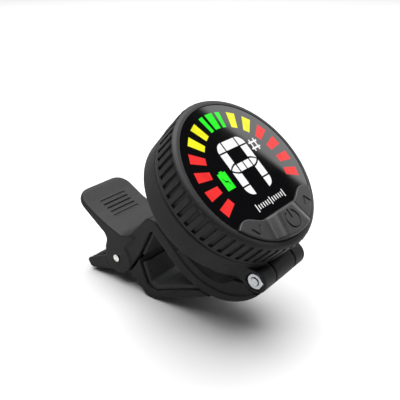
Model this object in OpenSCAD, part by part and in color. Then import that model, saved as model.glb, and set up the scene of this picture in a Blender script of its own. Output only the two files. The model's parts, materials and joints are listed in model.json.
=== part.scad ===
// Clip-on instrument tuner: a round rotating display head on a swivel base,
// hinged to a sprung clip with two rubber-lined jaws.
// Each piece is drawn in the head's own frame (x towards the tilt hinge, y to the
// right of the display, z out of the display) and then leaned into the row frame.

/* [Pose] */
// Lean of the display face from level (degrees)
lean = 42.9; // [0:0.1:90]
// Height of the display centre above the surface
face_up = 42.86; // [30:0.01:60]
// Distance of the display centre from the middle of the object
face_fwd = 19.76; // [0:0.01:40]

/* [Head] */
// Outer radius of the display head at its rim
head_r = 21.1; // [20.5:0.05:28]
// Radius of the display window
lens_r = 19.1; // [15:0.1:25]
// Thickness of the display window
lens_t = 1.6; // [0.8:0.1:2.4]
// Depth of the head from the window to the swivel seam
head_h = 7.75; // [6:0.05:7.8]
// Number of grip slots around the head
slots = 54; // [20:1:80]
// Width of one grip slot
slot_w = 1.05; // [0.6:0.05:1.6]
// Depth of one grip slot
slot_d = 0.55; // [0.2:0.05:0.8]

/* [Read-out] */
// Inner radius of the ring of tuning bars
bar_in = 12.45; // [10:0.05:14]
// Outer radius of the ring of tuning bars
bar_out = 17; // [14:0.05:18]
// Half width of the note figure
note_w = 5.4; // [3:0.1:7]

/* [Keys] */
// Height of the two side keys above the window
key_up = 0.6; // [0.2:0.1:1.5]
// Height of the power key above the window
power_up = 2.2; // [0.6:0.1:3]
// Clearance between keys and their neighbours
key_gap = 0.15; // [0.1:0.05:0.4]
// Half width of the straight part of the window's lower edge
key_flat = 6.2; // [4:0.1:8]

/* [Swivel base] */
// Top of the base ring below the window
base_top = 7.95; // [7.9:0.05:9]
// Underside of the base ring below the window
base_low = 14.63; // [12:0.01:18]
// Outer radius of the base ring
base_r = 21; // [18:0.1:24]
// Radius of the swivel hub
hub_r = 4; // [3:0.1:6]

/* [Tilt hinge] */
// Hinge axis distance from the head's centre
hinge_x = 22.43; // [20:0.01:26]
// Hinge axis depth below the window
hinge_z = 11.18; // [9:0.01:14]
// Radius of the hinge lugs
lug_r = 3.2; // [2.5:0.1:4.5]
// Inner face of each lug from the middle
lug_in = 4.7; // [3:0.1:7]
// Outer face of each lug from the middle
lug_out = 9.26; // [7:0.01:12]
// Radius of the hinge screw
screw_r = 1; // [0.8:0.05:1.5]

/* [Clip] */
// Half width of the clip
clip_w = 9.26; // [7:0.01:12]
// Half width of the thumb paddle
paddle_w = 9.6; // [7:0.05:12]
// Pivot pin position along the head
pin_x = -5; // [-8:0.1:-2]
// Pivot pin depth below the window
pin_z = 51.2; // [45:0.1:60]
// Radius of the pivot pin
pin_r = 1.1; // [0.8:0.05:2]
// Radius of the cheeks around the pin
cheek_r = 5; // [4:0.1:6]
// Outer face of the cheeks from the middle
cheek_out = 9.6; // [9:0.05:11]
// Inner face of the cheeks from the middle
cheek_in = 6.85; // [5:0.05:8]
// Wall of the finger handle's channel
handle_t = 0.95; // [0.6:0.05:2]
// Half width of the rubber pads
pad_w = 8.5; // [7:0.05:9]

/* [Hidden] */
$fn = 96;
pin_c = [pin_x, -pin_z];
hinge_c = [hinge_x, -hinge_z];
bow_c = [7.45, -13.57];      // centre of the bracket's outer curve
bow_r = 18.16;
post_r = 16.8;               // circle of the housing screws
slot_turn = -2;              // the slots aren't centred on the keys
switch_at = [12.7, 10.2];    // place of the side keys' switches
nut_r = 2.31;                // corners of the hinge nut
nut_turn = 15;
nut_in = 7.65;               // seats of the hinge nut and the hinge screw's head
head_in = 7.85;
posts = [60, 180, 300];
black = "#1d1d1f";
soft = "#3a3a3c";
steel = "#c9ccd0";

// leaned frame of the whole object
module set() { translate([face_fwd, 0, face_up]) rotate([0, lean, 0]) children(); }
// side outline (x, z) spread over the width, or over lo..hi on both sides of the middle
module wide(hi) { rotate([90, 0, 0]) translate([0, 0, -hi]) linear_extrude(2 * hi) children(); }
module sides(lo, hi) {
  for (s = [0, 1]) mirror([0, s, 0]) translate([0, hi, 0]) rotate([90, 0, 0]) linear_extrude(hi - lo) children();
}
// plan outline (x, y) between two depths
module slab(z0, z1) { translate([0, 0, z0]) linear_extrude(z1 - z0) children(); }
module at(c) { translate(c) children(); }
function arc(c, r, a0, a1, n) = [for (i = [0:n]) c + r * [cos(a0 + (a1 - a0) * i / n), sin(a0 + (a1 - a0) * i / n)]];

// ---- display window and keys, seen in plan ----
// lower edge of the window: straight in the middle, with a crest near each end
function crest(y) = let (a = abs(y))
  a < key_flat ? 12 :
  a < 12.55 ? 12 - 2.3 * (1 - cos(180 * (a - key_flat) / (12.55 - key_flat))) / 2 :
  9.7 + 1.5 * pow((a - 12.55) / 3.2, 1.7);
module key_side(shift) {
  polygon(concat([for (y = [-16.4:0.8:16.4]) [crest(y) + shift, y]], [[30, 16.4], [30, -16.4]]));
}
module key_field(r, shift) { intersection() { circle(r); key_side(shift); } }
module power_field(grow) {
  polygon([[5, 4.49 + grow], [25, 8.97 + grow], [25, -8.97 - grow], [5, -4.49 - grow]]);
}
// display coordinates: right of the display is +y, up the display is -x
module face_rect(y0, y1, u0, u1) { translate([u0, y0]) square([u1 - u0, y1 - y0]); }
module bar(a, half) {
  rotate(180 - a)
    polygon([[bar_in, -half * 0.8], [bar_out, -half * 1.12], [bar_out, half * 1.12], [bar_in, half * 0.8]]);
}
module bars(list, half) { for (a = list) bar(a, half); }
module green_plan() { bar(0, 1.22); bars([-11.07, 11.07], 0.71); }
module yellow_plan() { bars([-43.2, -26.2, 26.2, 43.2], 1.2); }
module red_plan() { bars([-111.2, -94.2, -77.2, -60.2, 60.2, 77.2, 94.2, 111.2], 1.2); }
module note_half() {
  n = note_w;
  intersection() { face_rect(-n, -2.82, -9, -6.55); at([-6.4, -2.8]) circle(2.6); }
  face_rect(-2.38, 0.01, -9, -6.55);
  polygon([[-6.13, -n], [-6.13, -2.82], [-3.1, -2.82], [-2.9, -3.6], [-2.5, -4.5], [-1.9, -n]]);
  polygon([[-1.6, 0.25 - n], [-2.1, -4.4], [-2.43, -3.6], [-2.58, -2.82], [-0.52, -2.82], [-0.67, -3.6], [-1.05, -4.4]]);
  face_rect(-2.38, -0.2, -2.55, -0.5);
  polygon([[-1.15, -n], [-0.6, -4.5], [-0.2, -3.6], [-0.05, -2.82], [2.93, -2.82], [2.93, -n]]);
  intersection() { face_rect(-n, -2.82, 3.35, 5.9); at([3.3, -2.8]) circle(2.6); }
}
module note_plan() { note_half(); mirror([0, 1]) note_half(); }
module sharp_plan() {
  for (s = [-0.85, 0.85]) {
    face_rect(7.9 + s - 0.23, 7.9 + s + 0.23, -6.8, -3.4);
    face_rect(6.2, 9.6, -5.1 + s - 0.23, -5.1 + s + 0.23);
  }
}
module battery_plan() {
  difference() {
    union() { face_rect(-10.4, -7.45, -2.35, 2.25); face_rect(-9.5, -8.35, -2.75, -2); }
    polygon([[-1.3, -9.65], [-0.1, -9.1], [-0.05, -8.45], [1.25, -8.1], [0.25, -8.7], [0.25, -9.35]]);
  }
}
module lit_plan() { green_plan(); yellow_plan(); red_plan(); note_plan(); sharp_plan(); battery_plan(); }

module lens() {
  color("#0d0d0f") set() difference() {
    slab(-lens_t, 0) difference() { circle(lens_r); key_side(-key_gap); }
    slab(-lens_t - 1, 1) lit_plan();
  }
}
module green_bars() { color("#28ff28") set() slab(-lens_t, 0) green_plan(); }
module yellow_bars() { color("#ffff32") set() slab(-lens_t, 0) yellow_plan(); }
module red_bars() { color("#ff3a3a") set() slab(-lens_t, 0) red_plan(); }
module note_segments() { color("#f6f6f6") set() slab(-lens_t, 0) note_plan(); }
module sharp_sign() { color("#f6f6f6") set() slab(-lens_t, 0) sharp_plan(); }
module battery_icon() { color("#28ff28") set() slab(-lens_t, 0) battery_plan(); }
module light_mask() {
  color(black) set() difference() {
    slab(-2.5, -lens_t - 0.02) difference() {
      circle(17.4);
      key_side(-0.6);
      for (a = posts) rotate(a) at([post_r, 0]) circle(1.9);
    }
    slab(-3, -1) lit_plan();
  }
}

// ---- keys ----
key_low = -1.2;
module key_symbol(down) {
  t = down ? 1 : -1;
  for (s = [-1, 1])
    polygon([[13.5 + 1.1 * t, -0.3 * s], [13.5 + 1.1 * t, 0.32 * s], [13.5 - 1.1 * t, 1.8 * s], [13.5 - 1.1 * t, 1.15 * s]]);
}
module side_key(s) {
  difference() {
    union() {
      slab(key_low, key_up) intersection() {
        difference() { key_field(lens_r - 0.05, 0); power_field(key_gap); }
        face_rect(s > 0 ? 0 : -20, s > 0 ? 20 : 0, 0, 20);
      }
      translate([switch_at[0], s * switch_at[1], -1.75]) cylinder(r = 1, h = 1);
    }
    slab(key_up - 0.3, key_up + 1) at([0, s * 10.7]) key_symbol(s < 0);
  }
}
module key_down() { color(soft) set() side_key(-1); }
module key_up_note() { color(soft) set() side_key(1); }
module key_power() {
  color(soft) set() difference() {
    union() {
      slab(key_low, key_up) intersection() { key_field(lens_r - 0.05, 0); power_field(0); }
      intersection() {
        slab(0, power_up) circle(lens_r - 0.05);
        hull() {
          slab(key_up - 0.1, key_up) polygon([[12, 6.05], [19.6, 7.75], [19.6, -7.75], [12, -6.05]]);
          slab(power_up - 0.1, power_up) polygon([[12.15, 3.6], [19.6, 5.7], [19.6, -5.7], [12.15, -3.6]]);
        }
      }
      translate([15.6, 0, -1.75]) cylinder(r = 1, h = 1);
    }
    slab(power_up - 0.3, power_up + 1) {
      at([15.6, 0]) difference() { circle(2.6); circle(2.05); polygon([[0, 0], [-4, 2.2], [-4, -2.2]]); }
      at([12.9, -0.27]) square([2.4, 0.54]);
    }
  }
}

// ---- head housing ----
module rim_outline() {
  polygon(concat([[19.2, 0], [19.2, -lens_t - 0.05], [17.6, -lens_t - 0.05], [17.6, -2.2], [19.6, -2.4],
    [19.6, -6.75], [20.2, -6.75], [20.2, -head_h], [head_r - 0.25, -head_h], [head_r, -head_h + 0.25]], arc([head_r - 1.5, -1.35], 1.5, 0, 100, 8)));
}
module slot_outline() {
  polygon([[head_r - slot_d, -6.95], [head_r - slot_d, -1.4], [head_r - 0.22, -0.65], [head_r + 0.1, 0.2],
    [head_r + 3, 0.2], [head_r + 3, -6.95]]);
}
module front_housing() {
  color(black) set() difference() {
    union() {
      rotate_extrude($fn = 168) rim_outline();
      for (a = posts) rotate(a) {
        translate([post_r, 0, -6.75]) cylinder(r = 1.6, h = 4.6, $fn = 32);
        translate([post_r, -0.6, -6.7]) cube([3, 1.2, 4.4]);
      }
    }
    for (i = [0:slots - 1]) rotate(slot_turn - i * 360 / slots) wide(slot_w / 2) slot_outline();
    for (a = posts) rotate(a) translate([post_r, 0, -7]) cylinder(r = 0.7, h = 4.2, $fn = 32);
    translate([-4.6, 18, -6.8]) cube([9.2, 6, 3.4]);
  }
}
module back_cover() {
  color(black) set() difference() {
    union() {
      translate([0, 0, -head_h]) cylinder(r = 20.15, h = head_h - 6.8);
      translate([0, 0, -13.35]) cylinder(r = hub_r, h = 6);
    }
    translate([0, 0, -14]) cylinder(r = 0.9, h = 5.5, $fn = 32);
    for (a = posts) rotate(a) translate([post_r, 0, 0]) {
      translate([0, 0, -9]) cylinder(r = 0.85, h = 3, $fn = 32);
      translate([0, 0, -9]) cylinder(r = 1.6, h = 1.75, $fn = 32);
    }
  }
}
module housing_screws() {
  color(steel) set() for (a = posts) rotate(a) translate([post_r, 0, 0]) {
    translate([0, 0, -7.25]) cylinder(r = 0.7, h = 4.25, $fn = 32);
    difference() {
      translate([0, 0, -7.72]) cylinder(r = 1.4, h = 0.47, $fn = 32);
      for (r = [0, 90]) rotate(r) translate([-0.8, -0.15, -8.5]) cube([1.6, 0.3, 0.8]);
    }
  }
}

// ---- inside the head ----
module circuit_board() {
  color("#1f5a34") set() slab(-3.4, -2.6) difference() {
    circle(17.8);
    for (a = posts) rotate(a) at([post_r, 0]) circle(1.9, $fn = 32);
  }
}
module led_chips() {
  color("#f2edd8") set() {
    for (s = [-1, 1], a = [0, 11.07, 26.2, 43.2, 60.2, 77.2, 94.2, 111.2])
      if (a > 0 || s > 0) rotate(180 - s * a) translate([13.8, -0.4, -2.6]) cube([1.2, 0.8, 0.55]);
    for (p = [[-8, -1], [-8.2, -4.4], [-8.2, 3.6], [-4.6, -4.4], [-4.6, 3.6], [0.8, -4.4], [0.8, 3.6],
      [4, -4.4], [4, 3.6], [-1.9, -1.7], [-1.9, 0.9]])
      translate([p[0], p[1], -2.6]) cube([0.8, 0.8, 0.55]);
  }
}
module key_switches() {
  color(steel) set() for (p = [[15.6, 0], switch_at, [switch_at[0], -switch_at[1]]]) {
    translate([p[0], p[1], -2.6]) cylinder(r = 1.6, h = 0.2, $fn = 32);
    translate([p[0], p[1], -2.4]) cylinder(r = 1.2, h = 0.2, $fn = 32);
  }
}
module port_bar(y, length, r) {
  translate([0, y, -5.05]) rotate([90, 0, 0]) linear_extrude(length) hull() for (s = [-1, 1]) at([s * 2.87, 0]) circle(r, $fn = 24);
}
module usb_socket() {
  color(steel) set() {
    difference() {
      port_bar(21, 7, 1.6);
      port_bar(22, 7.2, 1.3);
    }
    translate([-3.3, 14.4, -5.4]) cube([6.6, 6, 0.7]);
  }
}
module battery() {
  color("#8f9398") set() slab(-6.35, -3.6) hull() for (x = [-10, 6], y = [-9, 9]) at([x, y]) circle(1.2, $fn = 24);
}
module piezo_disc() {
  color("#c9a24a") set() { translate([0, 0, -6.8]) cylinder(r = 7, h = 0.2); translate([0, 0, -6.6]) cylinder(r = 5, h = 0.15); }
}

// ---- swivel base ----
module ear_side() {
  difference() {
    union() {
      at(hinge_c) circle(lug_r);
      polygon([[15, -base_low + 0.06], [hinge_x, -hinge_z - lug_r], [hinge_x, -hinge_z + lug_r],
        [21, -8.42], [19.6, -9.05], [18.4, -9.75], [15, -10.6]]);
    }
    at(hinge_c) circle(screw_r + 0.05);
  }
}
module ear_fillets() {
  // flared root of each ear, flowing out of the ring
  for (s = [-1, 1])
    polygon([[12, s * 6], [15.3, s * 14.2], [16.9, s * 12.1], [18.6, s * 10.5], [20.3, s * 9.55],
      [22, s * lug_out], [26, s * lug_out], [26, s * 4]]);
}
module base_ring() {
  color(black) set() difference() {
    union() {
      rotate_extrude($fn = 168) polygon([[hub_r + 0.05, -9.5], [7.5, -9.5], [7.5, -13.2], [19.4, -13.2],
        [19.4, -base_top], [base_r - 0.25, -base_top], [base_r, -base_top - 0.25],
        [base_r - 0.18, -base_low + 0.35], [base_r - 0.5, -base_low], [hub_r + 0.05, -base_low]]);
      intersection() {
        wide(lug_out + 6) ear_side();
        slab(-20, 0) difference() { ear_fillets(); circle(18.5); }
      }
      intersection() {
        translate([15.5, -6.5, -base_low + 0.2]) cube([5.3, 13, 5.2]);
        translate([0, 0, -base_low]) cylinder(r = base_r - 0.3, h = 8);
      }
    }
    wide(lug_in) union() {
      at(hinge_c) circle(lug_r + 0.25);
      translate([hinge_x - lug_r - 0.25, -16]) square([9, 16 - hinge_z]);
    }
    wide(20) at(hinge_c) circle(screw_r + 0.05);
    translate([hinge_x, -nut_in, -hinge_z]) rotate([90, 0, 0]) rotate(nut_turn) cylinder(r = nut_r + 0.22, h = 3, $fn = 6);
    translate([hinge_x, head_in + 3, -hinge_z]) rotate([90, 0, 0]) cylinder(r = 2.1, h = 3, $fn = 48);
    translate([0, 0, -base_low - 1]) cylinder(r = 6, h = 1 + base_low - 13.3);
  }
}
module swivel_screw() {
  color(steel) set() {
    translate([0, 0, -13.9]) cylinder(r = 0.9, h = 5.2, $fn = 32);
    difference() {
      translate([0, 0, -14.5]) cylinder(r = 2, h = 0.62, $fn = 48);
      for (r = [0, 90]) rotate(r) translate([-1.1, -0.2, -15]) cube([2.2, 0.4, 0.85]);
    }
  }
}
module swivel_washer() {
  color(steel) set() slab(-13.88, -13.38) difference() { circle(5.6); circle(0.95, $fn = 32); }
}
module hinge_screw() {
  color(steel) set() translate([hinge_x, 0, -hinge_z]) rotate([90, 0, 0]) difference() {
    union() {
      translate([0, 0, -head_in]) cylinder(r = screw_r, h = head_in + lug_out + 0.2, $fn = 48);
      translate([0, 0, -head_in - 1.3]) cylinder(r = 1.9, h = 1.3, $fn = 48);
    }
    for (r = [0, 90]) rotate(r) translate([-1.1, -0.2, -head_in - 2]) cube([2.2, 0.4, 1.4]);
  }
}
module hinge_nut() {
  color(steel) set() translate([hinge_x, -nut_in, -hinge_z]) rotate([90, 0, 0]) difference() {
    rotate(nut_turn) cylinder(r = nut_r, h = 1.55, $fn = 6);
    translate([0, 0, -1]) cylinder(r = screw_r, h = 4, $fn = 48);
  }
}
module hinge_washers() {
  color(black) set() sides(4.36, 4.66) at(hinge_c) difference() { circle(2.9); circle(screw_r + 0.05); }
}

// ---- clip: upper jaw with the thumb paddle and the hinge arm ----
module bow() { at(bow_c) circle(bow_r, $fn = 160); }
module hinge_arm() {
  difference() {
    intersection() { bow(); polygon([[5.2, -34], [27, -34], [27, -hinge_z], [18.98, -hinge_z], [5.2, -26.6]]); }
    intersection() { at([5.33, -4.25]) circle(21.91, $fn = 160); translate([0, -40]) square([16, 40]); }
    at([12.23, -17.81]) circle(6.75);
    translate([10, -17.81]) square([8.98, 10]);
    polygon([[5, -28.4], [5, -26], [5.9, -26.6], [7.2, -28.6]]);
  }
}
module shell() {
  difference() {
    intersection() { bow(); translate([7, -34]) square([20, 34 - hinge_z]); }
    at([7.09, -10.6]) circle(17.9, $fn = 160);
  }
}
module arm_outline() {
  polygon(concat(arc([-4.2, -31.6], 3.1, 90, 180, 8), [[-7.3, -40.5], [-7.6, -42.2], [-8.5, -43.8], [-9.2, -46.5], [-9.9, -50],
    [0, -50], [-1, -42.5], [-3.7, -32.4], [-3, -31.73], [7.45, -31.73], [7.45, -28.5]]));
}
module paddle_outline() {
  polygon([[-6, -40.5], [-7.6, -42.2], [-8.5, -43.8], [-10.7, -44.9], [-14.1, -46.5], [-18.6, -48.1], [-23, -49.2], [-26.6, -49.8],
    [-27.7, -50.2], [-28, -50.9], [-27.5, -51.5], [-26, -51.7], [-22.9, -51.4], [-19.8, -51], [-16.4, -50.5], [-13.1, -50],
    [-11.6, -50.5], [-10.3, -52], [-9.8, -52.6], [-6, -51]]);
}
module paddle_plan() {
  hull() for (s = [-1, 1]) { at([-23, s * (paddle_w - 5)]) circle(5, $fn = 32); translate([-5, s > 0 ? 0 : -paddle_w]) square([3, paddle_w]); }
}
module upper_jaw() {
  color(black) set() difference() {
    union() {
      wide(clip_w) { arm_outline(); shell(); }
      wide(8.9) hinge_arm();
      wide(4.3) at(hinge_c) circle(lug_r);
      sides(cheek_in, cheek_out) at(pin_c) circle(cheek_r);
      intersection() { wide(paddle_w) at([0, 0.35]) paddle_outline(); slab(-56, -36) paddle_plan(); }
    }
    sides(4.34, 12) {
      at(hinge_c) circle(lug_r + 0.25);
      polygon([[18, -17.7], [19, -17.6], [21.3, -14.8], [21.3, -11], [18, -11]]);
    }
    wide(cheek_in) {
      at(pin_c) circle(4.75);
      polygon([[-3, -46.1], [3, -44.6], [3, -52], [-3, -52]]);
      polygon([[-10.4, -50.9], [-9, -49], [-5, -50], [-5, -56], [-11, -56]]);
    }
    wide(20) { at(pin_c) circle(pin_r); at(hinge_c) circle(screw_r + 0.05); }
  }
}
module upper_pad() {
  color(soft) set() difference() {
    wide(pad_w - 0.2) polygon([[-3.7, -32.4], [-1.25, -41.4], [-0.7, -41.8], [-0.15, -41.3], [-2.3, -33.9],
      [-1.5, -32.95], [9.3, -32.95], [9.6, -32.6], [9.6, -31.2], [-3, -31.73]]);
    wide(20) { bow(); arm_outline(); }
  }
}

// ---- clip: lower jaw with the finger handle ----
jaw_bed = [[16.6, -29.3], [11, -42], [9.7, -45.2], [8.2, -46.4], [6.7, -46.6], [4, -45.4], [1.1, -43.9]];
module jaw_outline() {
  difference() {
    polygon(concat([[0.6, -50.4], [1.8, -50], [3.5, -49.95], [8.3, -50], [9.8, -49.4], [11.2, -47.5],
      [13.6, -41.6], [16.7, -34.3], [20, -26.4], [17.8, -26.6]], jaw_bed, [[-0.5, -43.2], [-0.05, -45], [0.3, -47], [0.3, -48.5]]));
    at(bow_c) circle(bow_r + 0.2, $fn = 160);
  }
}
module handle_outline() {
  polygon([[-8, -55.4], [-11.35, -63.9], [-11.2, -64.6], [-10.4, -65], [-9.4, -65.2], [-8.6, -65], [-8, -64.5],
    [-2.9, -55.3], [-5, -54]]);
}
module handle_hollow() {
  polygon([[-6, -54.4], [-4.4, -55.6], [-9.1, -63.9], [-9.6, -64.1], [-10.3, -63.7], [-14, -64.9], [-9.5, -54.5]]);
}
module lower_jaw() {
  color(black) set() difference() {
    union() {
      difference() {
        wide(clip_w) { jaw_outline(); handle_outline(); }
        sides(cheek_in - 0.1, 12) at(pin_c) circle(cheek_r + 0.15);
      }
      sides(3.65, cheek_in - 0.1) {
        at(pin_c) circle(4.5);
        polygon([[-1.4, -48.6], [0.35, -46.5], [0.65, -50.35], [-0.5, -52.4]]);
        polygon([[-8.2, -55.1], [-3, -55.4], [-1.6, -53.6], [-8, -52.6]]);
      }
      wide(3.7) polygon([[-0.8, -50], [0.35, -46.5], [0.65, -50.35], [-0.5, -52.4]]);
      wide(3.7) polygon([[-6, -56.2], [-3, -55.4], [-1.6, -53.6], [-3, -54]]);
      wide(3.7) polygon([[-3, -55.4], [-1.6, -53.6], [0.65, -50.35], [-0.9, -50]]);
    }
    wide(cheek_in - 0.1) difference() { handle_hollow(); at(pin_c) circle(4.5); }
    wide(clip_w - handle_t) difference() { handle_hollow(); at(pin_c) circle(cheek_r + 0.9); }
    wide(3.64) at(pin_c) circle(3.5);
    wide(20) at(pin_c) circle(pin_r + 0.05);
  }
}
module lower_pad() {
  color(soft) set() difference() {
    wide(pad_w) polygon(concat([[15, -29.8], [9.75, -41.6], [8.6, -44.3], [7.7, -45.1], [6.6, -45.3],
      [4.5, -44.2], [1.6, -42.8], [1, -43.1]], [for (i = [6:-1:0]) jaw_bed[i]]));
    wide(20) at(bow_c) circle(bow_r + 0.25, $fn = 160);
  }
}
module pivot_pin() {
  color(steel) set() translate([pin_x, 0, -pin_z]) rotate([90, 0, 0]) difference() {
    translate([0, 0, -9.9]) cylinder(r = pin_r, h = 19.8, $fn = 64);
    for (s = [-1, 1]) translate([0, 0, s * 11.6]) sphere(r = 1.9, $fn = 48);
  }
}

// ---- torsion spring: a coil on the pin with a leg under each lever ----
coil_r = 2.4;
wire_r = 0.5;
turns = 5;
function coil_at(t) = let (a = 174.9 - t * (360 * turns - 79.5))
  [pin_x + coil_r * cos(a), -2.9 + 5.8 * t, -pin_z + coil_r * sin(a)];
function spring_path() = concat([[-8.24, -2.9, -60.5]], [for (i = [0:96]) coil_at(i / 96)], [[-15, 2.9, -50.95]]);
function unit(v) = v / norm(v);
function tangent(p, i) = unit(p[min(i + 1, len(p) - 1)] - p[max(i - 1, 0)]);
function ring(p, i, r, n) = let (t = tangent(p, i), u = unit(cross([0, 1, 0.001], t)), v = cross(t, u))
  [for (k = [0:n - 1]) p[i] + r * (cos(360 * k / n) * u + sin(360 * k / n) * v)];
module tube(p, r, n) {
  m = len(p);
  polyhedron(points = [for (i = [0:m - 1]) each ring(p, i, r, n)],
    faces = concat([[for (k = [0:n - 1]) k]], [[for (k = [n - 1:-1:0]) (m - 1) * n + k]],
      [for (i = [0:m - 2], k = [0:n - 1])
        [i * n + k, (i + 1) * n + k, (i + 1) * n + (k + 1) % n, i * n + (k + 1) % n]]));
}
module torsion_spring() { color(steel) set() tube(spring_path(), wire_r, 8); }

front_housing();
back_cover();
housing_screws();
lens();
light_mask();
green_bars();
yellow_bars();
red_bars();
note_segments();
sharp_sign();
battery_icon();
key_down();
key_power();
key_up_note();
circuit_board();
led_chips();
key_switches();
usb_socket();
battery();
piezo_disc();
base_ring();
swivel_screw();
swivel_washer();
hinge_screw();
hinge_nut();
hinge_washers();
upper_jaw();
upper_pad();
lower_jaw();
lower_pad();
pivot_pin();
torsion_spring();
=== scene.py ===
import json
import math

import bpy
import numpy as np
from mathutils import Matrix, Vector


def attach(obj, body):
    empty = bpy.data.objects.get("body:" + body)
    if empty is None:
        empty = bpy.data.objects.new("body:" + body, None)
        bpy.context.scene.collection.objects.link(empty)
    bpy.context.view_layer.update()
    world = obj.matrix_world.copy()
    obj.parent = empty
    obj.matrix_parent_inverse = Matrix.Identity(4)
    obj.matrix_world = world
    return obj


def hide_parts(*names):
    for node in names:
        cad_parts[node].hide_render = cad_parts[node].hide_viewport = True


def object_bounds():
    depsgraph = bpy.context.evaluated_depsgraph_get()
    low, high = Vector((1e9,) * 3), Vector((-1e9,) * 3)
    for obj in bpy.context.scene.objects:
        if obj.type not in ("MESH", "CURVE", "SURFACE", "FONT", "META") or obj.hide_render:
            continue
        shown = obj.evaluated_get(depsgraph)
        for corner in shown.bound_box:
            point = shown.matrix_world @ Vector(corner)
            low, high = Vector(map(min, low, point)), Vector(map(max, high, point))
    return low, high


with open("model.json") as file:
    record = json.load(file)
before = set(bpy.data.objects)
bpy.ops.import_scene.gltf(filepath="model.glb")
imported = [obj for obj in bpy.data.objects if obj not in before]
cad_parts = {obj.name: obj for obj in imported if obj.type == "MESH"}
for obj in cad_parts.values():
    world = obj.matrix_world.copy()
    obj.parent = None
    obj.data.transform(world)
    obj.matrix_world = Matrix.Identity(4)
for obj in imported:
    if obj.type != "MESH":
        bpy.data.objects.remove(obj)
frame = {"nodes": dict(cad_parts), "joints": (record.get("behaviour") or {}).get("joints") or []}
cadLow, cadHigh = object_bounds()
nodes = frame["nodes"]
joints = {j["name"]: j for j in frame["joints"]}
print("frame loaded:", len(nodes), "nodes")

# head frame: x towards the tilt hinge, y to the right of the display, z out of it, in mm
outward = Vector(joints["swivel"]["axis"]).normalized()
across = Vector((0, 1, 0))
downward = across.cross(outward)
faceCentre = Vector(joints["swivel"]["pos_m"]) + 0.011 * outward
turn = np.array([downward, across, outward])
hingePoint = (22.43, -11.18)   # tilt hinge, side view
pinPoint = (-5.0, -51.2)       # clip's pivot pin


def toRow(points):
    return np.asarray(points) * 0.001 @ turn + np.array(faceCentre)


def rowPoint(x, y, z):
    return Vector(toRow([(x, y, z)])[0])


# shaping: each moulding is a distance field, skinned into a fine smooth mesh
def circleAt(x, z, centre, radius):
    return np.hypot(x - centre[0], z - centre[1]) - radius


def outlineAt(x, z, outline):
    near, inside = np.inf, False
    for (ax, az), (bx, bz) in zip(outline, outline[1:] + outline[:1]):
        ex, ez = bx - ax, bz - az
        t = np.clip(((x - ax) * ex + (z - az) * ez) / (ex * ex + ez * ez), 0, 1)
        near = np.minimum(near, (x - ax - t * ex) ** 2 + (z - az - t * ez) ** 2)
        if ez:
            inside = inside ^ (((az > z) != (bz > z)) & (x < ax + (z - az) * ex / ez))
    return np.where(inside, -1, 1) * np.sqrt(near)


def arcPoints(centre, radius, start, end, count):
    angles = [math.radians(start + (end - start) * i / count) for i in range(count + 1)]
    return [(centre[0] + radius * math.cos(a), centre[1] + radius * math.sin(a)) for a in angles]


def spread(flat, depth, edge):
    a, b = flat + edge, depth + edge
    return np.hypot(np.maximum(a, 0), np.maximum(b, 0)) + np.minimum(np.maximum(a, b), 0) - edge


def join(a, b, blend):
    h = np.maximum(blend - np.abs(a - b), 0) / blend
    return np.minimum(a, b) - h * h * blend / 4


def cut(a, b, blend):
    return -join(-a, b, blend)


def ramp(v, low, high):
    t = np.clip((v - low) / (high - low), 0, 1)
    return t * t * (3 - 2 * t)


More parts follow.
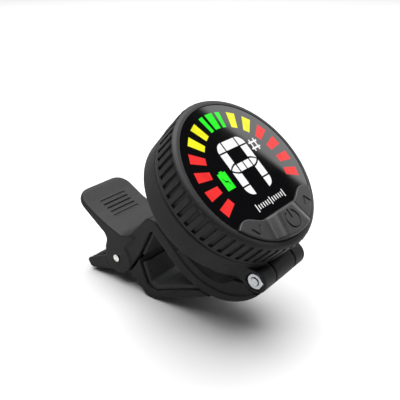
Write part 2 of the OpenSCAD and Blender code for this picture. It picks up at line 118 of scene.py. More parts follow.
def skin(name, field, axes, wrapped=False):
    def place(a, b, c):
        return (b * np.cos(a), b * np.sin(a), c) if wrapped else (a, b, c)

    grid = np.meshgrid(*axes, indexing="ij", sparse=True)
    value = np.array(np.broadcast_to(field(*place(*grid)), [len(a) for a in axes]), float)
    if wrapped:
        value = np.concatenate([value, value[:1]])
    cells = [n - 1 for n in value.shape]
    total, count = np.zeros(cells + [3]), np.zeros(cells)  # one point per cell, at the mean of its crossings
    crossings = []
    for axis in range(3):
        others = [k for k in range(3) if k != axis]
        low, high = [slice(None)] * 3, [slice(None)] * 3
        low[axis], high[axis] = slice(0, -1), slice(1, None)
        first, last = value[tuple(low)], value[tuple(high)]
        crossing = (first < 0) != (last < 0)
        share = np.where(crossing, first / np.where(crossing, first - last, 1), 0)
        crossings.append((crossing, first < 0))
        for i in (0, 1):
            for j in (0, 1):
                part = [slice(None)] * 3
                part[others[0]] = slice(i, i + cells[others[0]])
                part[others[1]] = slice(j, j + cells[others[1]])
                hit = crossing[tuple(part)]
                count += hit
                total[..., axis] += share[tuple(part)]
                total[..., others[0]] += i * hit
                total[..., others[1]] += j * hit
    used = count > 0
    index = np.full(cells, -1)
    index[used] = np.arange(used.sum())
    spot = np.argwhere(used) + total[used] / count[used][:, None]
    steps = [a[1] - a[0] for a in axes]
    points = np.stack(place(*[axes[k][0] + steps[k] * spot[:, k] for k in range(3)]), 1)
    quads = []  # one face round each crossed grid edge
    for axis in range(3):
        others = [k for k in range(3) if k != axis]
        crossing, inner = crossings[axis]
        e = np.argwhere(crossing)
        ok = np.ones(len(e), bool)
        for k in others:
            if wrapped and k == 0:
                ok &= e[:, 0] < cells[0]
            else:
                ok &= (e[:, k] > 0) & (e[:, k] < cells[k])
        e = e[ok]
        flip = inner[tuple(e.T)] == (axis == 1)
        corner = []
        for i, j in ((1, 1), (0, 1), (0, 0), (1, 0)):
            c = e.copy()
            c[:, others[0]] -= i
            c[:, others[1]] -= j
            if wrapped:
                c[:, 0] %= cells[0]
            corner.append(index[tuple(c.T)])
        q = np.stack(corner, 1)
        q[flip] = q[flip][:, ::-1]
        quads.append(q)
    quads = np.concatenate(quads)
    reach = 0.5 * steps[2]
    probe = 0.02

    def slope(p):
        return np.stack([(field(*(p + d).T) - field(*(p - d).T)) / (2 * probe) for d in np.eye(3) * probe], 1)

    for _ in range(3):  # pull the points onto the true surface
        g = slope(points)
        move = -field(*points.T)[:, None] * g / np.maximum((g * g).sum(1), 0.2)[:, None]
        length = np.linalg.norm(move, axis=1)[:, None]
        points = points + move * np.minimum(1, reach / np.maximum(length, 1e-9))
    normals = slope(points)
    normals /= np.maximum(np.linalg.norm(normals, axis=1), 1e-9)[:, None]
    face = np.cross(points[quads[:, 2]] - points[quads[:, 0]], points[quads[:, 3]] - points[quads[:, 1]])
    if (face * normals[quads[:, 0]]).sum() < 0:
        quads = quads[:, ::-1]
    return meshPiece(name, toRow(points), quads, normals @ turn)


def meshPiece(name, points, quads, normals=None):
    mesh = bpy.data.meshes.new(name)
    mesh.vertices.add(len(points))
    mesh.vertices.foreach_set("co", np.asarray(points, np.float32).ravel())
    side = quads.shape[1]
    mesh.loops.add(quads.size)
    mesh.loops.foreach_set("vertex_index", quads.astype(np.int32).ravel())
    mesh.polygons.add(len(quads))
    mesh.polygons.foreach_set("loop_start", np.arange(0, quads.size, side, dtype=np.int32))
    mesh.polygons.foreach_set("loop_total", np.full(len(quads), side, np.int32))
    mesh.update(calc_edges=True)
    mesh.validate()
    mesh.polygons.foreach_set("use_smooth", np.ones(len(mesh.polygons), bool))
    if normals is not None:
        mesh.normals_split_custom_set_from_vertices(normals.astype(np.float32))
    piece = bpy.data.objects.new(name, mesh)
    bpy.context.scene.collection.objects.link(piece)
    return piece


def fit(piece, body, node, material):
    piece.data.materials.clear()
    piece.data.materials.append(material)
    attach(piece, body)
    if node:
        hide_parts(node)
    return piece


def steps(low, high, size):
    return np.linspace(low, high, int(math.ceil((high - low) / size)) + 1)


def gridOver(size, *spans):
    return [steps(low, high, size) for low, high in spans]


# materials
def toLinear(hexColour):
    value = [int(hexColour[i:i + 2], 16) / 255 for i in (1, 3, 5)]
    return tuple(v / 12.92 if v <= 0.04045 else ((v + 0.055) / 1.055) ** 2.4 for v in value) + (1,)


def addNode(tree, kind, settings=None, links=None):
    node = tree.nodes.new("ShaderNode" + kind)
    for key, value in (settings or {}).items():
        if hasattr(node, key):
            setattr(node, key, value)
        else:
            node.inputs[key].default_value = value
    for key, source in (links or {}).items():
        tree.links.new(source, node.inputs[key])
    return node


def newMaterial(name, settings):
    material = bpy.data.materials.new(name)
    material.use_nodes = True
    tree = material.node_tree
    shader = tree.nodes["Principled BSDF"]
    for key, value in settings.items():
        shader.inputs[key].default_value = value
    material.diffuse_color = settings["Base Color"]
    where = addNode(tree, "TexCoord").outputs["Object"]
    return material, tree, shader, where


def grained(name, look):
    material, tree, shader, where = newMaterial(name, {
        "Base Color": toLinear(look["colour"]), "Roughness": look["roughness"], "IOR": look["ior"],
        "Specular IOR Level": look["specular"]})
    grain = addNode(tree, "TexNoise", {"Scale": 1000 / look["grain"], "Detail": 3.0, "Roughness": 0.6},
                    {"Vector": where})
    patch = addNode(tree, "TexNoise", {"Scale": 1000 / look["patch"], "Detail": 2.0}, {"Vector": where})
    tint = addNode(tree, "Mix", {"data_type": "RGBA"})
    tint.inputs[6].default_value = toLinear(look["colour"])
    tint.inputs[7].default_value = toLinear(look["worn"])
    even = addNode(tree, "MapRange", {"From Min": 0.35, "From Max": 0.7}, {"Value": grain.outputs["Fac"]})
    tree.links.new(even.outputs["Result"], tint.inputs[0])
    tree.links.new(tint.outputs[2], shader.inputs["Base Color"])
    low, high = look["roughness"] - look["spread"], look["roughness"] + look["spread"]
    gloss = addNode(tree, "MapRange", {"From Min": 0.3, "From Max": 0.7, "To Min": low, "To Max": high},
                    {"Value": patch.outputs["Fac"]})
    tree.links.new(gloss.outputs["Result"], shader.inputs["Roughness"])
    bump = addNode(tree, "Bump", {"Strength": look["bump"], "Distance": look["grain"] * 0.00012},
                   {"Height": grain.outputs["Fac"]})
    tree.links.new(bump.outputs["Normal"], shader.inputs["Normal"])
    return material

# moulded ABS, spark-eroded tool: a dark even black with a fine dry grain that greys where light grazes it
absLook = {
    "colour": "#141415", "worn": "#1b1b1c", "roughness": 0.48, "spread": 0.04, "ior": 1.53, "specular": 0.14,
    "grain": 0.42, "patch": 7.0, "bump": 0.5}
mouldedAbs = grained("mouldedAbs", absLook)
# the ring and clip take the same plastic from a slightly coarser tool
clipAbs = grained("grainedAbs", dict(absLook, grain=0.5, bump=0.6, roughness=0.55))
# moulded silicone keys: a soft dark grey with no sparkle
keySilicone = grained("keySilicone", {
    "colour": "#1d1d1e", "worn": "#222223", "roughness": 0.36, "spread": 0.03, "ior": 1.42, "specular": 0.28,
    "grain": 0.35, "patch": 5.0, "bump": 0.25})
# moulded TPE pads: deeper black than the clip, nearly no highlight
padRubber = grained("padRubber", {
    "colour": "#1b1b1c", "worn": "#202021", "roughness": 0.72, "spread": 0.04, "ior": 1.5, "specular": 0.4,
    "grain": 0.3, "patch": 4.0, "bump": 0.4})
# smoked acrylic window, polished: near black with a clean sharp reflection and a faint wipe mark
smokedAcrylic = grained("smokedAcrylic", {
    "colour": "#050506", "worn": "#060607", "roughness": 0.045, "spread": 0.015, "ior": 1.49, "specular": 0.5,
    "grain": 3.0, "patch": 9.0, "bump": 0.0})


def litFilm(name, look):
    # a lit segment under the polished window: even colour with faint dimmer patches, with the window's gloss
    material, tree, shader, where = newMaterial(name, {
        "Base Color": toLinear(look["colour"]), "Roughness": 0.06, "IOR": 1.49, "Specular IOR Level": 0.1,
        "Emission Strength": look["power"], "Emission Color": toLinear(look["colour"])})
    glow = addNode(tree, "TexNoise", {"Scale": 1000 / look["patch"], "Detail": 1.0}, {"Vector": where})
    tint = addNode(tree, "Mix", {"data_type": "RGBA"})
    tint.inputs[6].default_value = toLinear(look["dim"])
    tint.inputs[7].default_value = toLinear(look["colour"])
    even = addNode(tree, "MapRange", {"From Min": 0.25, "From Max": 0.5}, {"Value": glow.outputs["Fac"]})
    tree.links.new(even.outputs["Result"], tint.inputs[0])
    tree.links.new(tint.outputs[2], shader.inputs["Emission Color"])
    shader.inputs["Base Color"].default_value = toLinear("#0a0a0a")  # unlit film is near black
    return material


greenFilm = litFilm("greenLedFilm", {"colour": "#2cff2c", "dim": "#22f022", "power": 1.0, "patch": 3.0})
yellowFilm = litFilm("yellowLedFilm", {"colour": "#fdfd28", "dim": "#f2f020", "power": 1.0, "patch": 3.0})
redFilm = litFilm("redLedFilm", {"colour": "#fb3434", "dim": "#f02c2c", "power": 1.0, "patch": 3.0})
whiteFilm = litFilm("whiteLedFilm", {"colour": "#ffffff", "dim": "#f6f6f6", "power": 1.0, "patch": 3.0})


def metal(name, look):
    material, tree, shader, where = newMaterial(name, {
        "Base Color": toLinear(look["colour"]), "Metallic": 1.0, "Roughness": look["roughness"]})
    marks = addNode(tree, "TexNoise", {"Scale": 1000 / look["marks"], "Detail": 4.0}, {"Vector": where})
    gloss = addNode(tree, "MapRange", {"From Min": 0.3, "From Max": 0.7, "To Min": look["roughness"] * 0.75,
                    "To Max": look["roughness"] * 1.3}, {"Value": marks.outputs["Fac"]})
    tree.links.new(gloss.outputs["Result"], shader.inputs["Roughness"])
    bump = addNode(tree, "Bump", {"Strength": 0.25, "Distance": 0.00003}, {"Height": marks.outputs["Fac"]})
    tree.links.new(bump.outputs["Normal"], shader.inputs["Normal"])
    return material


# cool bright plate with tumbling marks
zincSteel = metal("zincPlatedSteel", {"colour": "#b3b5b9", "roughness": 0.26, "marks": 0.5})
# brighter, almost mirror-like
brightPin = metal("nickelPlatedPin", {"colour": "#d8d6d2", "roughness": 0.2, "marks": 0.8})
# drawn wire, soft shine
springWire = metal("musicWire", {"colour": "#b9babd", "roughness": 0.3, "marks": 0.35})
# bright tin on the port and switches, yellow brass under the pickup, dull foil round the cell
tinPlate = metal("tinPlate", {"colour": "#d5d4ce", "roughness": 0.22, "marks": 0.6})
brassDisc = metal("rolledBrass", {"colour": "#d3a755", "roughness": 0.34, "marks": 0.7})
foilPouch = metal("aluminiumFoil", {"colour": "#b4b7bb", "roughness": 0.4, "marks": 1.6})
# plain inner plastics and the board: flat tones that only show through gaps
whiteAbs = grained("whiteAbs", {
    "colour": "#dededa", "worn": "#e6e6e2", "roughness": 0.5, "spread": 0.04, "ior": 1.53, "specular": 0.5,
    "grain": 0.4, "patch": 6.0, "bump": 0.3})
nylonWasher = grained("nylonWasher", {
    "colour": "#1a1a1b", "worn": "#202021", "roughness": 0.45, "spread": 0.04, "ior": 1.53, "specular": 0.5,
    "grain": 0.4, "patch": 3.0, "bump": 0.2})
boardMask = grained("solderMask", {
    "colour": "#17482b", "worn": "#1c5232", "roughness": 0.3, "spread": 0.05, "ior": 1.5, "specular": 0.5,
    "grain": 1.2, "patch": 5.0, "bump": 0.3})
ledEpoxy = grained("ledEpoxy", {
    "colour": "#efe6c2", "worn": "#f2ecd0", "roughness": 0.2, "spread": 0.04, "ior": 1.54, "specular": 0.5,
    "grain": 0.5, "patch": 3.0, "bump": 0.1})

for name, material in {
        "back_cover": mouldedAbs, "lens": smokedAcrylic, "green_bars": greenFilm, "yellow_bars": yellowFilm,
        "red_bars": redFilm, "note_segments": whiteFilm, "sharp_sign": whiteFilm, "battery_icon": greenFilm,
        "light_mask": whiteAbs, "circuit_board": boardMask, "led_chips": ledEpoxy, "key_switches": tinPlate,
        "usb_socket": tinPlate, "battery": foilPouch, "piezo_disc": brassDisc, "housing_screws": zincSteel,
        "swivel_screw": zincSteel, "swivel_washer": zincSteel, "hinge_screw": zincSteel,
        "hinge_washers": nylonWasher, "pivot_pin": brightPin}.items():
    nodes[name].data.materials.clear()
    nodes[name].data.materials.append(material)
print("materials made")

# head housing: a rim with square grip slots all round
housing = {"slots": 54, "slotWidth": 1.06, "slotTurn": -2.0, "edge": 0.12, "mesh": 0.19, "turnSteps": 16,
           "posts": (60, 180, 300), "postAt": 16.8, "postRadius": 1.6, "postBore": 0.7,
           "portHeight": -5.05, "portHalf": 2.9, "portRadius": 1.7}
rimOutline = ([(19.2, 0), (19.2, -1.65), (17.6, -1.65), (17.6, -2.2), (19.6, -2.4), (19.6, -6.75),
               (20.2, -6.75), (20.2, -7.75)]
              + arcPoints((20.8, -7.45), 0.3, 270, 360, 5) + arcPoints((19.6, -1.35), 1.5, 0, 96, 12)
              + arcPoints((19.35, 0.02), 0.15, 60, 180, 4))
slotOutline = [(20.55, -6.95), (20.55, -1.4), (20.88, -0.65), (21.2, 0.2), (24.1, 0.2), (24.1, -6.95)]


def housingField(x, y, z):
    far, angle = np.hypot(x, y), np.degrees(np.arctan2(y, x))
    pitch = 360 / housing["slots"]
    off = (angle - housing["slotTurn"] + pitch / 2) % pitch - pitch / 2
    body = outlineAt(far, z, rimOutline)
    for post in housing["posts"]:
        c, s = math.cos(math.radians(post)), math.sin(math.radians(post))
        along, side = x * c + y * s - housing["postAt"], np.abs(y * c - x * s)
        boss = np.maximum(np.hypot(along, side) - housing["postRadius"], np.abs(z + 4.45) - 2.3)
        rib = np.maximum(np.maximum(side - 0.6, np.abs(along - 1.5) - 1.5), np.abs(z + 4.5) - 2.2)
        body = join(body, np.minimum(boss, rib), 0.3)
        body = cut(body, np.maximum(np.hypot(along, side) - housing["postBore"], -2.8 - z), 0.1)
    off = far * np.abs(np.radians(off))  # from the nearest slot's middle, along the rim
    slot = spread(outlineAt(far, z, slotOutline), off - housing["slotWidth"] / 2, 0.1)
    body = cut(body, slot, housing["edge"])
    port = np.hypot(np.maximum(np.abs(x) - housing["portHalf"], 0), z - housing["portHeight"])
    port = np.maximum(port - housing["portRadius"], 17 - y)
    return cut(body, port, 0.25)


turnCount = housing["slots"] * housing["turnSteps"]
turnAngles = np.arange(turnCount) * 2 * math.pi / turnCount
rim = skin("gripHousing", housingField,
           [turnAngles] + gridOver(housing["mesh"], (14.8, 21.4), (-8.05, 0.3)), True)
fit(rim, "head", "front_housing", mouldedAbs)
print("housing made")

# keys
keys = {"sideTop": 0.6, "powerTop": 2.2, "gap": 0.15, "edge": 0.3, "mesh": 0.13, "mark": 0.3}


def crest(y):
    a = abs(y)
    if a < 6.2:
        return 12
    if a < 12.55:
        return 12 - 2.3 * (1 - math.cos(math.pi * (a - 6.2) / 6.35)) / 2
    return 9.7 + 1.5 * ((a - 12.55) / 3.2) ** 1.7


keyPlan = [(crest(y), y) for y in np.arange(-16.4, 16.41, 0.8)] + [(30, 16.4), (30, -16.4)]


def keyArea(x, y):
    return np.maximum(np.hypot(x, y) - 19.05, outlineAt(x, y, keyPlan))


def powerArea(x, y):
    return (np.abs(y) - 4.49 - (x - 5) * 0.224) * 0.976


def sideKeyField(side):
    t = 1 if side < 0 else -1
    strokes = [[(13.5 + 1.1 * t, -0.3 * s), (13.5 + 1.1 * t, 0.32 * s), (13.5 - 1.1 * t, 1.8 * s),
                (13.5 - 1.1 * t, 1.15 * s)] for s in (-1, 1)]

    def field(x, y, z):
        plan = np.maximum(np.maximum(keyArea(x, y), keys["gap"] - powerArea(x, y)), -side * y)
        body = spread(plan, np.maximum(z - keys["sideTop"], -1.2 - z), keys["edge"])
        stem = np.maximum(np.hypot(x - 12.7, y - side * 10.2) - 1, np.abs(z + 1.25) - 0.5)
        body = np.minimum(body, stem)
        mark = np.minimum(outlineAt(x, y - side * 10.7, strokes[0]), outlineAt(x, y - side * 10.7, strokes[1]))
        return cut(body, np.maximum(mark, keys["sideTop"] - keys["mark"] - z), 0.1)
    return field


def powerKeyField(x, y, z):
    base = spread(np.maximum(keyArea(x, y), powerArea(x, y)), np.maximum(z - keys["sideTop"], -1.2 - z), 0.2)
    rise = (z - 0.6) / 1.6
    half = (6.05 + (x - 12) * 0.2237) * (1 - rise) + (3.6 + (x - 12.15) * 0.2819) * rise
    flank = (np.abs(y) - half) * 0.59
    cap = cut(cut(flank, -(z - keys["powerTop"]), 0.7), -(12 + 0.15 * rise - x), 0.6)
    cap = np.maximum(cut(cap, -(np.hypot(x, y) - 19.05), 0.5), 0.2 - z)
    body = join(base, cap, 0.35)
    stem = np.maximum(np.hypot(x - 15.6, y) - 1, np.abs(z + 1.25) - 0.5)
    body = np.minimum(body, stem)
    ring = np.abs(np.hypot(x - 15.6, y) - 2.32) - 0.27
    gap = (np.abs(y) - 0.55 * (15.6 - x)) * 0.87
    mark = np.minimum(np.maximum(ring, -gap), np.maximum(np.abs(x - 14.1) - 1.2, np.abs(y) - 0.27))
    return cut(body, np.maximum(mark, keys["powerTop"] - keys["mark"] - z), 0.1)


for name, side, node, body in (("downKey", -1, "key_down", "down_key"), ("upKey", 1, "key_up_note", "up_key")):
    span = (-16.6, -0.1) if side < 0 else (0.1, 16.6)
    piece = skin(name, sideKeyField(side), gridOver(keys["mesh"], (9.3, 19.3), span, (-2, 0.85)))
    fit(piece, body, node, keySilicone)
piece = skin("powerKey", powerKeyField, gridOver(keys["mesh"], (11.5, 19.3), (-8.8, 8.8), (-2, 2.45)))
fit(piece, "power_key", "key_power", keySilicone)
print("keys made")

# swivel base: a deep ring whose two ears carry the tilt hinge
base = {"lug": 3.2, "flow": 1.1, "gapHalf": 4.7, "bore": 1.05, "nutFlats": 4.38, "nutFrom": 7.65,
        "headRadius": 2.1, "headFrom": 7.85, "mesh": 0.27}
nut = {"flats": 4.0, "thick": 1.55, "inner": 7.65, "turn": 15, "mesh": 0.11}
ringOutline = ([(4.05, -9.5), (7.5, -9.5), (7.5, -13.2), (19.4, -13.2), (19.4, -8.1)]
               + arcPoints((19.6, -8.15), 0.2, 180, 90, 3) + arcPoints((20.35, -8.6), 0.65, 90, 0, 6)
               + arcPoints((20.4, -14.18), 0.45, 0, -90, 5) + [(4.05, -14.63)])
earOutline = [(15, -14.57), (22.43, -14.38), (22.43, -7.98), (21, -8.42), (19.6, -9.05), (18.4, -9.75),
              (15, -10.6)]
earPlan = [(12, 6), (15.3, 14.2), (16.9, 12.1), (18.6, 10.5), (20.3, 9.55), (22, 9.26), (26, 9.26), (26, 4)]


def hexAt(x, z, flats):
    along, up = x - hingePoint[0], z - hingePoint[1]
    turns = np.radians([nut["turn"], nut["turn"] + 60, nut["turn"] + 120])
    return np.maximum.reduce([np.abs(along * math.cos(a) + up * math.sin(a)) for a in turns]) - flats / 2


def baseField(x, y, z):
    w, far = np.abs(y), np.hypot(x, y)
    ring = outlineAt(far, z, ringOutline)
    side = np.minimum(circleAt(x, z, hingePoint, base["lug"]), outlineAt(x, z, earOutline))
    ears = np.maximum(spread(side, outlineAt(x, w, earPlan), 0.4), 18.5 - far)
    body = join(ring, ears, base["flow"])
    block = np.maximum(np.maximum(np.abs(x - 18.15) - 2.65, w - 6.5), np.abs(z + 11.83) - 2.6)
    block = np.maximum(block, far - 20.7)
    body = join(body, block, 0.3)
    slot = np.minimum(circleAt(x, z, hingePoint, base["lug"] + 0.25), np.maximum(18.98 - x, z - hingePoint[1]))
    body = cut(body, np.maximum(slot, w - base["gapHalf"]), 0.3)
    body = cut(body, circleAt(x, z, hingePoint, base["bore"]) + 0 * y, 0.1)
    body = cut(body, np.maximum(hexAt(x, z, base["nutFlats"]), base["nutFrom"] + y), 0.3)
    body = cut(body, np.maximum(circleAt(x, z, hingePoint, base["headRadius"]), base["headFrom"] - y), 0.3)
    return cut(body, np.maximum(far - 6, z + 13.3), 0.2)


ring = skin("swivelRing", baseField, gridOver(base["mesh"], (-21.4, 26.2), (-21.4, 21.4), (-15, -7.6)))
fit(ring, "swivel_base", "base_ring", clipAbs)

def nutField(x, y, z):
    depth = np.abs(-y - nut["inner"] - nut["thick"] / 2) - nut["thick"] / 2
    far = np.hypot(x - hingePoint[0], z - hingePoint[1])
    body = spread(hexAt(x, z, nut["flats"]), depth, 0.08)
    body = cut(body, -(far - 2.06 + (depth + 0.1) * 1.7) * 0.5, 0.05)
    return cut(body, far - 1.0 - np.maximum(0.25 + depth, 0), 0.05)


piece = skin("hexNut", nutField, gridOver(nut["mesh"], (19.9, 25), (-9.4, -7.45), (-13.8, -8.6)))
fit(piece, "swivel_base", "hinge_nut", zincSteel)
print("swivel base made")

# clip: upper jaw, with thumb paddle, arm, cheeks and hinge arm in one moulding
upper = {"half": 9.26, "paddleHalf": 9.6, "edge": 0.45, "paddleEdge": 0.6, "flow": 1.4, "mesh": 0.3}
bowCentre, bowRadius = (7.45, -13.57), 18.16
armOutline = (arcPoints((-4.2, -31.6), 3.1, 90, 180, 10)
              + [(-7.3, -40.5), (-7.6, -42.2), (-8.5, -43.8), (-9.2, -46.5), (-9.9, -50), (0, -50),
                 (-1, -42.5), (-3.7, -32.4), (-3, -31.73), (7.45, -31.73), (7.45, -28.5)])
shellBox = [(7, -34), (27, -34), (27, -11.18), (7, -11.18)]
armWedge = [(5.2, -34), (27, -34), (27, -11.18), (18.98, -11.18), (5.2, -26.6)]
paddleTop = [(-6, -40.5), (-7.6, -42.2), (-8.5, -43.8), (-10.7, -44.9), (-14.1, -46.5), (-18.6, -48.1),
             (-23, -49.2), (-26.6, -49.8)]
paddleOutline = [(x, z + 0.35) for x, z in paddleTop + [
    (-27.7, -50.2), (-28, -50.9), (-27.5, -51.5), (-26, -51.7), (-22.9, -51.4), (-19.8, -51),
    (-16.4, -50.5), (-13.1, -50), (-11.6, -50.5), (-10.3, -52), (-9.8, -52.6), (-6, -51)]]
grooves = {"from": -21.6, "count": 5, "pitch": 1.5, "width": 0.5, "depth": 0.22, "half": 4.6}


def upperField(x, y, z):
    w = np.abs(y)
    bow = circleAt(x, z, bowCentre, bowRadius)
    shell = np.maximum(np.maximum(bow, outlineAt(x, z, shellBox)), -circleAt(x, z, (7.09, -10.6), 17.9))
    body = spread(np.minimum(outlineAt(x, z, armOutline), shell), w - upper["half"], upper["edge"])
    arm = np.maximum(bow, outlineAt(x, z, armWedge))
    arm = np.maximum(arm, -np.maximum(circleAt(x, z, (5.33, -4.25), 21.91), x - 16))
    arm = np.maximum(arm, -circleAt(x, z, (12.23, -17.81), 6.75))
    arm = np.maximum(arm, -np.maximum(np.abs(x - 14.49) - 4.49, -17.81 - z))
    body = join(body, spread(arm, w - 8.9, 0.45), 0.3)
    body = join(body, spread(circleAt(x, z, hingePoint, 3.2), w - 4.3, 0.3), 0.3)
    plan = np.hypot(np.maximum(np.abs(x + 13) - 10, 0), np.maximum(w - upper["paddleHalf"] + 5, 0)) - 5
    plan = np.maximum(plan, w - upper["paddleHalf"])
    paddle = spread(outlineAt(x, z, paddleOutline), plan, upper["paddleEdge"])
    cheek = spread(circleAt(x, z, pinPoint, 5.0), np.abs(w - 8.225) - 1.375, 0.5)
    body = join(join(body, paddle, upper["flow"]), cheek, upper["flow"])
    body = np.maximum(body, w - upper["paddleHalf"])
    clear = outlineAt(x, z, [(18, -17.7), (19, -17.6), (21.3, -14.8), (21.3, -11), (18, -11)])
    clear = np.minimum(circleAt(x, z, hingePoint, 3.45), clear)
    body = cut(body, np.maximum(clear, 4.34 - w), 0.3)
    hollow = outlineAt(x, z, [(-3, -46.1), (3, -44.6), (3, -52), (-3, -52)])
    hollow = np.minimum(circleAt(x, z, pinPoint, 4.75), hollow)
    hollow = np.minimum(hollow, outlineAt(x, z, [(-10.4, -50.9), (-9, -49), (-5, -50), (-5, -56), (-11, -56)]))
    body = cut(body, np.maximum(hollow, w - 6.85), 0.3)
    bores = np.minimum(circleAt(x, z, pinPoint, 1.22), circleAt(x, z, hingePoint, 1.02))
    body = cut(body, bores + 0 * y, 0.12)
    topLine = np.interp(x, [p[0] for p in paddleTop[::-1]], [p[1] + 0.35 for p in paddleTop[::-1]])
    first = grooves["from"]
    near = np.clip(np.round((x - first) / grooves["pitch"]), 0, grooves["count"] - 1) * grooves["pitch"] + first
    line = np.hypot(x - near, np.maximum(w - grooves["half"], 0)) - grooves["width"] / 2
    return cut(body, np.maximum(line, topLine - grooves["depth"] - z), 0.16)


piece = skin("clipBody", upperField, gridOver(upper["mesh"], (-28.6, 26.2), (-10, 10), (-56.8, -7.4)))
fit(piece, "clip_upper", "upper_jaw", clipAbs)
print("upper jaw made")

upperPadOutline = [(-3.7, -32.4), (-1.25, -41.4), (-0.95, -41.7), (-0.7, -41.8), (-0.4, -41.65), (-0.15, -41.3),
                   (-2.35, -33.2), (-2, -32.95), (9.3, -32.95), (9.6, -32.6), (9.6, -31.2), (-3, -31.73)]


def upperPadField(x, y, z):
    flat = np.maximum(outlineAt(x, z, upperPadOutline), -circleAt(x, z, bowCentre, bowRadius))
    flat = np.maximum(flat, -outlineAt(x, z, armOutline))
    return spread(flat, np.abs(y) - 8.3, 0.3)


piece = skin("upperPad", upperPadField, gridOver(0.2, (-4.1, 10), (-8.7, 8.7), (-42.2, -30.6)))
fit(piece, "clip_upper", "upper_pad", padRubber)

# lower jaw, with its finger handle and the knuckles round the spring
lower = {"half": 9.26, "edge": 0.35, "wall": 0.95, "mesh": 0.26}
jawBed = [(16.6, -29.3), (11, -42), (9.7, -45.2), (8.2, -46.4), (6.7, -46.6), (4, -45.4), (1.1, -43.9)]
jawOutline = [(0.6, -50.4), (1.8, -50), (3.5, -49.95), (8.3, -50), (9.2, -49.8), (9.8, -49.4),
              (10.6, -48.5), (11.2, -47.5), (13.6, -41.6), (16.7, -34.3), (20, -26.4), (17.8, -26.6)]
jawOutline += jawBed + [(-0.5, -43.2), (-0.05, -45), (0.3, -47), (0.3, -48.5)]
handleOutline = [(-8, -55.4), (-11.35, -63.9), (-11.2, -64.6), (-10.4, -65), (-9.4, -65.2), (-8.6, -65),
                 (-8, -64.5), (-2.9, -55.3), (-5, -54)]
handleHollow = [(-6, -54.4), (-4.4, -55.6), (-9.1, -63.9), (-9.6, -64.1), (-10.3, -63.7), (-14, -64.9),
                (-9.5, -54.5)]


def lowerField(x, y, z):
    w = np.abs(y)
    jaw = np.maximum(outlineAt(x, z, jawOutline), -circleAt(x, z, bowCentre, bowRadius + 0.2))
    body = spread(np.minimum(jaw, outlineAt(x, z, handleOutline)), w - lower["half"], lower["edge"])
    body = cut(body, np.maximum(circleAt(x, z, pinPoint, 5.15), 6.75 - w), 0.2)
    knuckle = outlineAt(x, z, [(-1.4, -48.6), (0.35, -46.5), (0.65, -50.35), (-0.5, -52.4)])
    knuckle = np.minimum(circleAt(x, z, pinPoint, 4.5), knuckle)
    knuckle = np.minimum(knuckle, outlineAt(x, z, [(-8.2, -55.1), (-3, -55.4), (-1.6, -53.6), (-8, -52.6)]))
    body = join(body, spread(knuckle, np.abs(w - 5.2) - 1.55, 0.25), 0.4)
    web = np.minimum(outlineAt(x, z, [(-0.8, -50), (0.35, -46.5), (0.65, -50.35), (-0.5, -52.4)]),
                     outlineAt(x, z, [(-6, -56.2), (-3, -55.4), (-1.6, -53.6), (-3, -54)]))
    web = np.minimum(web, outlineAt(x, z, [(-3, -55.4), (-1.6, -53.6), (0.65, -50.35), (-0.9, -50)]))
    body = join(body, np.maximum(web, w - 3.7), 0.3)
    hollow = np.maximum(outlineAt(x, z, handleHollow), -circleAt(x, z, pinPoint, 4.5))
    body = cut(body, np.maximum(hollow, w - 6.75), 0.3)
    mouth = np.maximum(outlineAt(x, z, handleHollow), -circleAt(x, z, pinPoint, 5.9))
    body = cut(body, np.maximum(mouth, w - lower["half"] + lower["wall"]), 0.2)
    body = cut(body, np.maximum(circleAt(x, z, pinPoint, 3.5), w - 3.64), 0.2)
    return cut(body, circleAt(x, z, pinPoint, 1.24) + 0 * y, 0.1)


piece = skin("lowerJaw", lowerField, gridOver(lower["mesh"], (-11.8, 20.6), (-9.6, 9.6), (-65.6, -26)))
fit(piece, "clip_lower", "lower_jaw", clipAbs)

pad = {"half": 8.5, "rimAt": 7.35, "groove": 0.35, "grooveHalf": 0.16, "dip": 0.18}
lowerPadOutline = [(15, -29.8), (9.75, -41.6), (8.6, -44.3), (7.7, -45.1), (6.6, -45.3), (4.5, -44.2),
                   (1.6, -42.8), (1, -43.1)] + jawBed[::-1]


def lowerPadField(x, y, z):
    w = np.abs(y)
    flat = np.maximum(outlineAt(x, z, lowerPadOutline), -circleAt(x, z, bowCentre, bowRadius + 0.25))
    flat = np.maximum(flat, -outlineAt(x, z, jawOutline))
    groove = pad["groove"] * np.exp(-((w - pad["rimAt"]) / pad["grooveHalf"]) ** 2)
    flat = flat + groove + pad["dip"] * ramp(-w, -7.4, -7.1)
    return spread(flat, w - pad["half"], 0.3)


piece = skin("lowerPad", lowerPadField, [steps(0.4, 17, 0.2), steps(-8.8, 8.8, 0.16), steps(-47, -28.8, 0.2)])
fit(piece, "clip_lower", "lower_pad", padRubber)
print("lower jaw made")

# torsion spring: round wire, five turns on the pin and a leg under each lever
spring = {"coil": 2.4, "wire": 0.5, "turns": 5, "sides": 20, "perTurn": 40}


def springPath():
    points = [(-8.24, -2.9, -60.5), (-7.9, -2.9, -58.0)]
    sweep, count = 360 * spring["turns"] - 79.5, spring["turns"] * spring["perTurn"]
    for i in range(count + 1):
        a = math.radians(174.9 - sweep * i / count)
        points.append((pinPoint[0] + spring["coil"] * math.cos(a), -2.9 + 5.8 * i / count,
                       pinPoint[1] + spring["coil"] * math.sin(a)))
    return np.array(points + [(-15, 2.9, -50.95)])


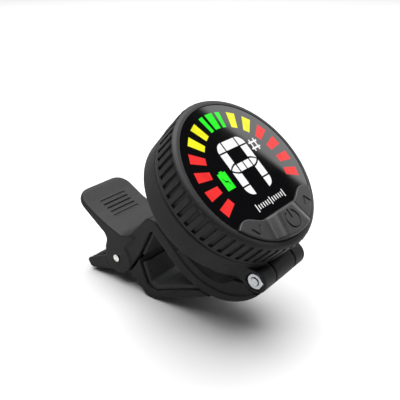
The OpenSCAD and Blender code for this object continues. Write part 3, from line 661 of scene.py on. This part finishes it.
def tubeSkin(path, radius, sides):
    ahead = np.gradient(path, axis=0)
    ahead /= np.linalg.norm(ahead, axis=1)[:, None]
    first = np.cross(np.array([0, 1, 0.001]), ahead)
    first /= np.linalg.norm(first, axis=1)[:, None]
    second = np.cross(ahead, first)
    a = np.arange(sides) * 2 * math.pi / sides
    ring = np.cos(a)[None, :, None] * first[:, None] + np.sin(a)[None, :, None] * second[:, None]
    count = len(path)
    points = (path[:, None] + radius * ring).reshape(-1, 3)
    ends = [path[0] - ahead[0] * 0.1, path[-1] + ahead[-1] * 0.1]
    points = np.concatenate([points, ends])
    i, k = np.meshgrid(np.arange(count - 1), np.arange(sides), indexing="ij")
    j = (k + 1) % sides
    near, far = i * sides, (i + 1) * sides
    quads = np.stack([near + k, near + j, far + j, far + k], -1).reshape(-1, 4)
    return points, quads


path = springPath()
count, sides = len(path), spring["sides"]
points, quads = tubeSkin(path, spring["wire"], sides)
mesh = bpy.data.meshes.new("torsionSpring")
faces = [tuple(int(v) for v in q) for q in quads]
faces += [(count * sides, (k + 1) % sides, k) for k in range(sides)]  # closes the two ends
last = (count - 1) * sides
faces += [(count * sides + 1, last + k, last + (k + 1) % sides) for k in range(sides)]
mesh.from_pydata([tuple(p) for p in toRow(points)], [], faces)
mesh.polygons.foreach_set("use_smooth", [True] * len(mesh.polygons))
piece = bpy.data.objects.new("torsionSpring", mesh)
bpy.context.scene.collection.objects.link(piece)
fit(piece, "clip_upper", "torsion_spring", springWire)

# plain printed scale under the note, in place of any lettering
scale = {"at": 9.0, "count": 13, "pitch": 0.95, "width": 0.3, "short": 1.2, "long": 2.1, "ink": 0.02}
corners, faces, half = [], [], scale["width"] / 2
for i in range(scale["count"]):
    middle = (i - (scale["count"] - 1) / 2) * scale["pitch"]
    tall = (scale["long"] if i % 6 == 0 else scale["short"]) / 2
    start = len(corners)
    for z in (-scale["ink"], scale["ink"]):
        around = ((-tall, -half), (tall, -half), (tall, half), (-tall, half))
        corners += [(scale["at"] + x, middle + y, z) for x, y in around]
    faces += [(start + 4, start + 5, start + 6, start + 7), (start + 3, start + 2, start + 1, start)]
    faces += [(start + k, start + (k + 1) % 4, start + 4 + (k + 1) % 4, start + 4 + k) for k in range(4)]
piece = meshPiece("printedScale", toRow(corners), np.array(faces))
piece.data.polygons.foreach_set("use_smooth", np.zeros(len(faces), bool))
# painted glow: the printed ticks take the emissive white LED film, so the ink shines like a lit segment
fit(piece, "head", None, whiteFilm)
print("spring and scale made")

# camera
view = {"offset": (0.06897328, -0.10511139, 0.05049303), "right": (0.78279663, 0.6222589, -0.00482674),
        "down": (0.25963346, -0.3336463, -0.90623982),
        "forward": (-0.56552622, 0.7081483, -0.42273643), "lens": 50.555}
cameraData = bpy.data.cameras.new("camera")
cameraData.lens, cameraData.sensor_width = view["lens"], 36
cameraData.clip_start, cameraData.clip_end = 0.01, 30
camera = bpy.data.objects.new("camera", cameraData)
eye = faceCentre + Vector(view["offset"])
axes = Matrix([view["right"], [-v for v in view["down"]], [-v for v in view["forward"]]]).transposed()
camera.matrix_world = Matrix.Translation(eye) @ axes.to_4x4()
bpy.context.scene.collection.objects.link(camera)
bpy.context.scene.camera = camera

# studio: white sweep, one wide overhead light, and a softbox mirrored by the window
studio = {"world": 0.12, "floor": "#aaaaaa", "overhead": 62.0, "overheadSize": 1.5, "overheadHeight": 1.1,
          "cardDistance": 0.45, "cardPower": 2.7, "cardSoft": 0.003, "cardShift": -0.003}
bpy.context.scene.view_settings.view_transform = "Standard"
world = bpy.data.worlds.new("studio")
world.use_nodes = True
world.node_tree.nodes["Background"].inputs["Color"].default_value = (1, 1, 1, 1)
world.node_tree.nodes["Background"].inputs["Strength"].default_value = studio["world"]
bpy.context.scene.world = world

floorMesh = bpy.data.meshes.new("floor")
floorMesh.from_pydata([(-6, -6, 0), (6, -6, 0), (6, 6, 0), (-6, 6, 0)], [], [(0, 1, 2, 3)])
floor = bpy.data.objects.new("floor", floorMesh)
floor.location.z = cadLow.z - 0.00002
bpy.context.scene.collection.objects.link(floor)
sweep, tree, shader, where = newMaterial("paperSweep", {
    "Base Color": toLinear(studio["floor"]), "Roughness": 0.9, "Specular IOR Level": 0.1})
floorMesh.materials.append(sweep)


def addLight(name, power, size, place, target):
    data = bpy.data.lights.new(name, "AREA")
    data.energy, data.size = power, size
    lamp = bpy.data.objects.new(name, data)
    lamp.location = place
    lamp.rotation_euler = (Vector(target) - Vector(place)).to_track_quat("-Z", "Y").to_euler()
    bpy.context.scene.collection.objects.link(lamp)
    return lamp


addLight("overhead", studio["overhead"], studio["overheadSize"],
         (-0.1, 0.1, studio["overheadHeight"]), (0, 0, 0))

# the glare's edge crosses the window from lineStart to lineEnd, with brightSide on its lit side
lineStart, lineEnd, brightSide = (-19.3, -2.0), (10.0, 13.0), (-10.0, 15.0)


def mirrored(x, y):
    spot = rowPoint(x, y, 0)
    ray = (spot - eye).normalized()
    return spot, ray - 2 * ray.dot(outward) * outward


middle, aim = mirrored(0, 0)
boardCentre = middle + aim * studio["cardDistance"]


def onBoard(x, y):
    spot, ray = mirrored(x, y)
    return spot + ray * ((boardCentre - spot).dot(aim) / ray.dot(aim))


first, last, bright = onBoard(*lineStart), onBoard(*lineEnd), onBoard(*brightSide)
edge = (last - first).normalized()
inward = (bright - first) - (bright - first).dot(edge) * edge
inward.normalize()
frameOf = Matrix([edge, inward, edge.cross(inward)]).transposed()
board = bpy.data.meshes.new("softbox")
board.from_pydata([(-0.3, -0.3, 0), (0.3, -0.3, 0), (0.3, 0.3, 0), (-0.3, 0.3, 0)], [], [(0, 1, 2, 3)])
softbox = bpy.data.objects.new("softbox", board)
softbox.matrix_world = Matrix.Translation((first + last) / 2) @ frameOf.to_4x4()
bpy.context.scene.collection.objects.link(softbox)
glow, tree, shader, where = newMaterial("softboxCloth", {
    "Base Color": (0, 0, 0, 1), "Roughness": 1.0, "Specular IOR Level": 0.0,
    "Emission Strength": studio["cardPower"]})
onCloth = addNode(tree, "SeparateXYZ", None, {"Vector": where})
fade = addNode(tree, "MapRange", {
    "interpolation_type": "SMOOTHSTEP", "From Min": -studio["cardShift"] - studio["cardSoft"],
    "From Max": studio["cardSoft"] - studio["cardShift"], "To Min": 0.004}, {"Value": onCloth.outputs["Y"]})
tree.links.new(fade.outputs["Result"], shader.inputs["Emission Color"])
board.materials.append(glow)
softbox.visible_camera = False
softbox.visible_shadow = False
print("studio made")
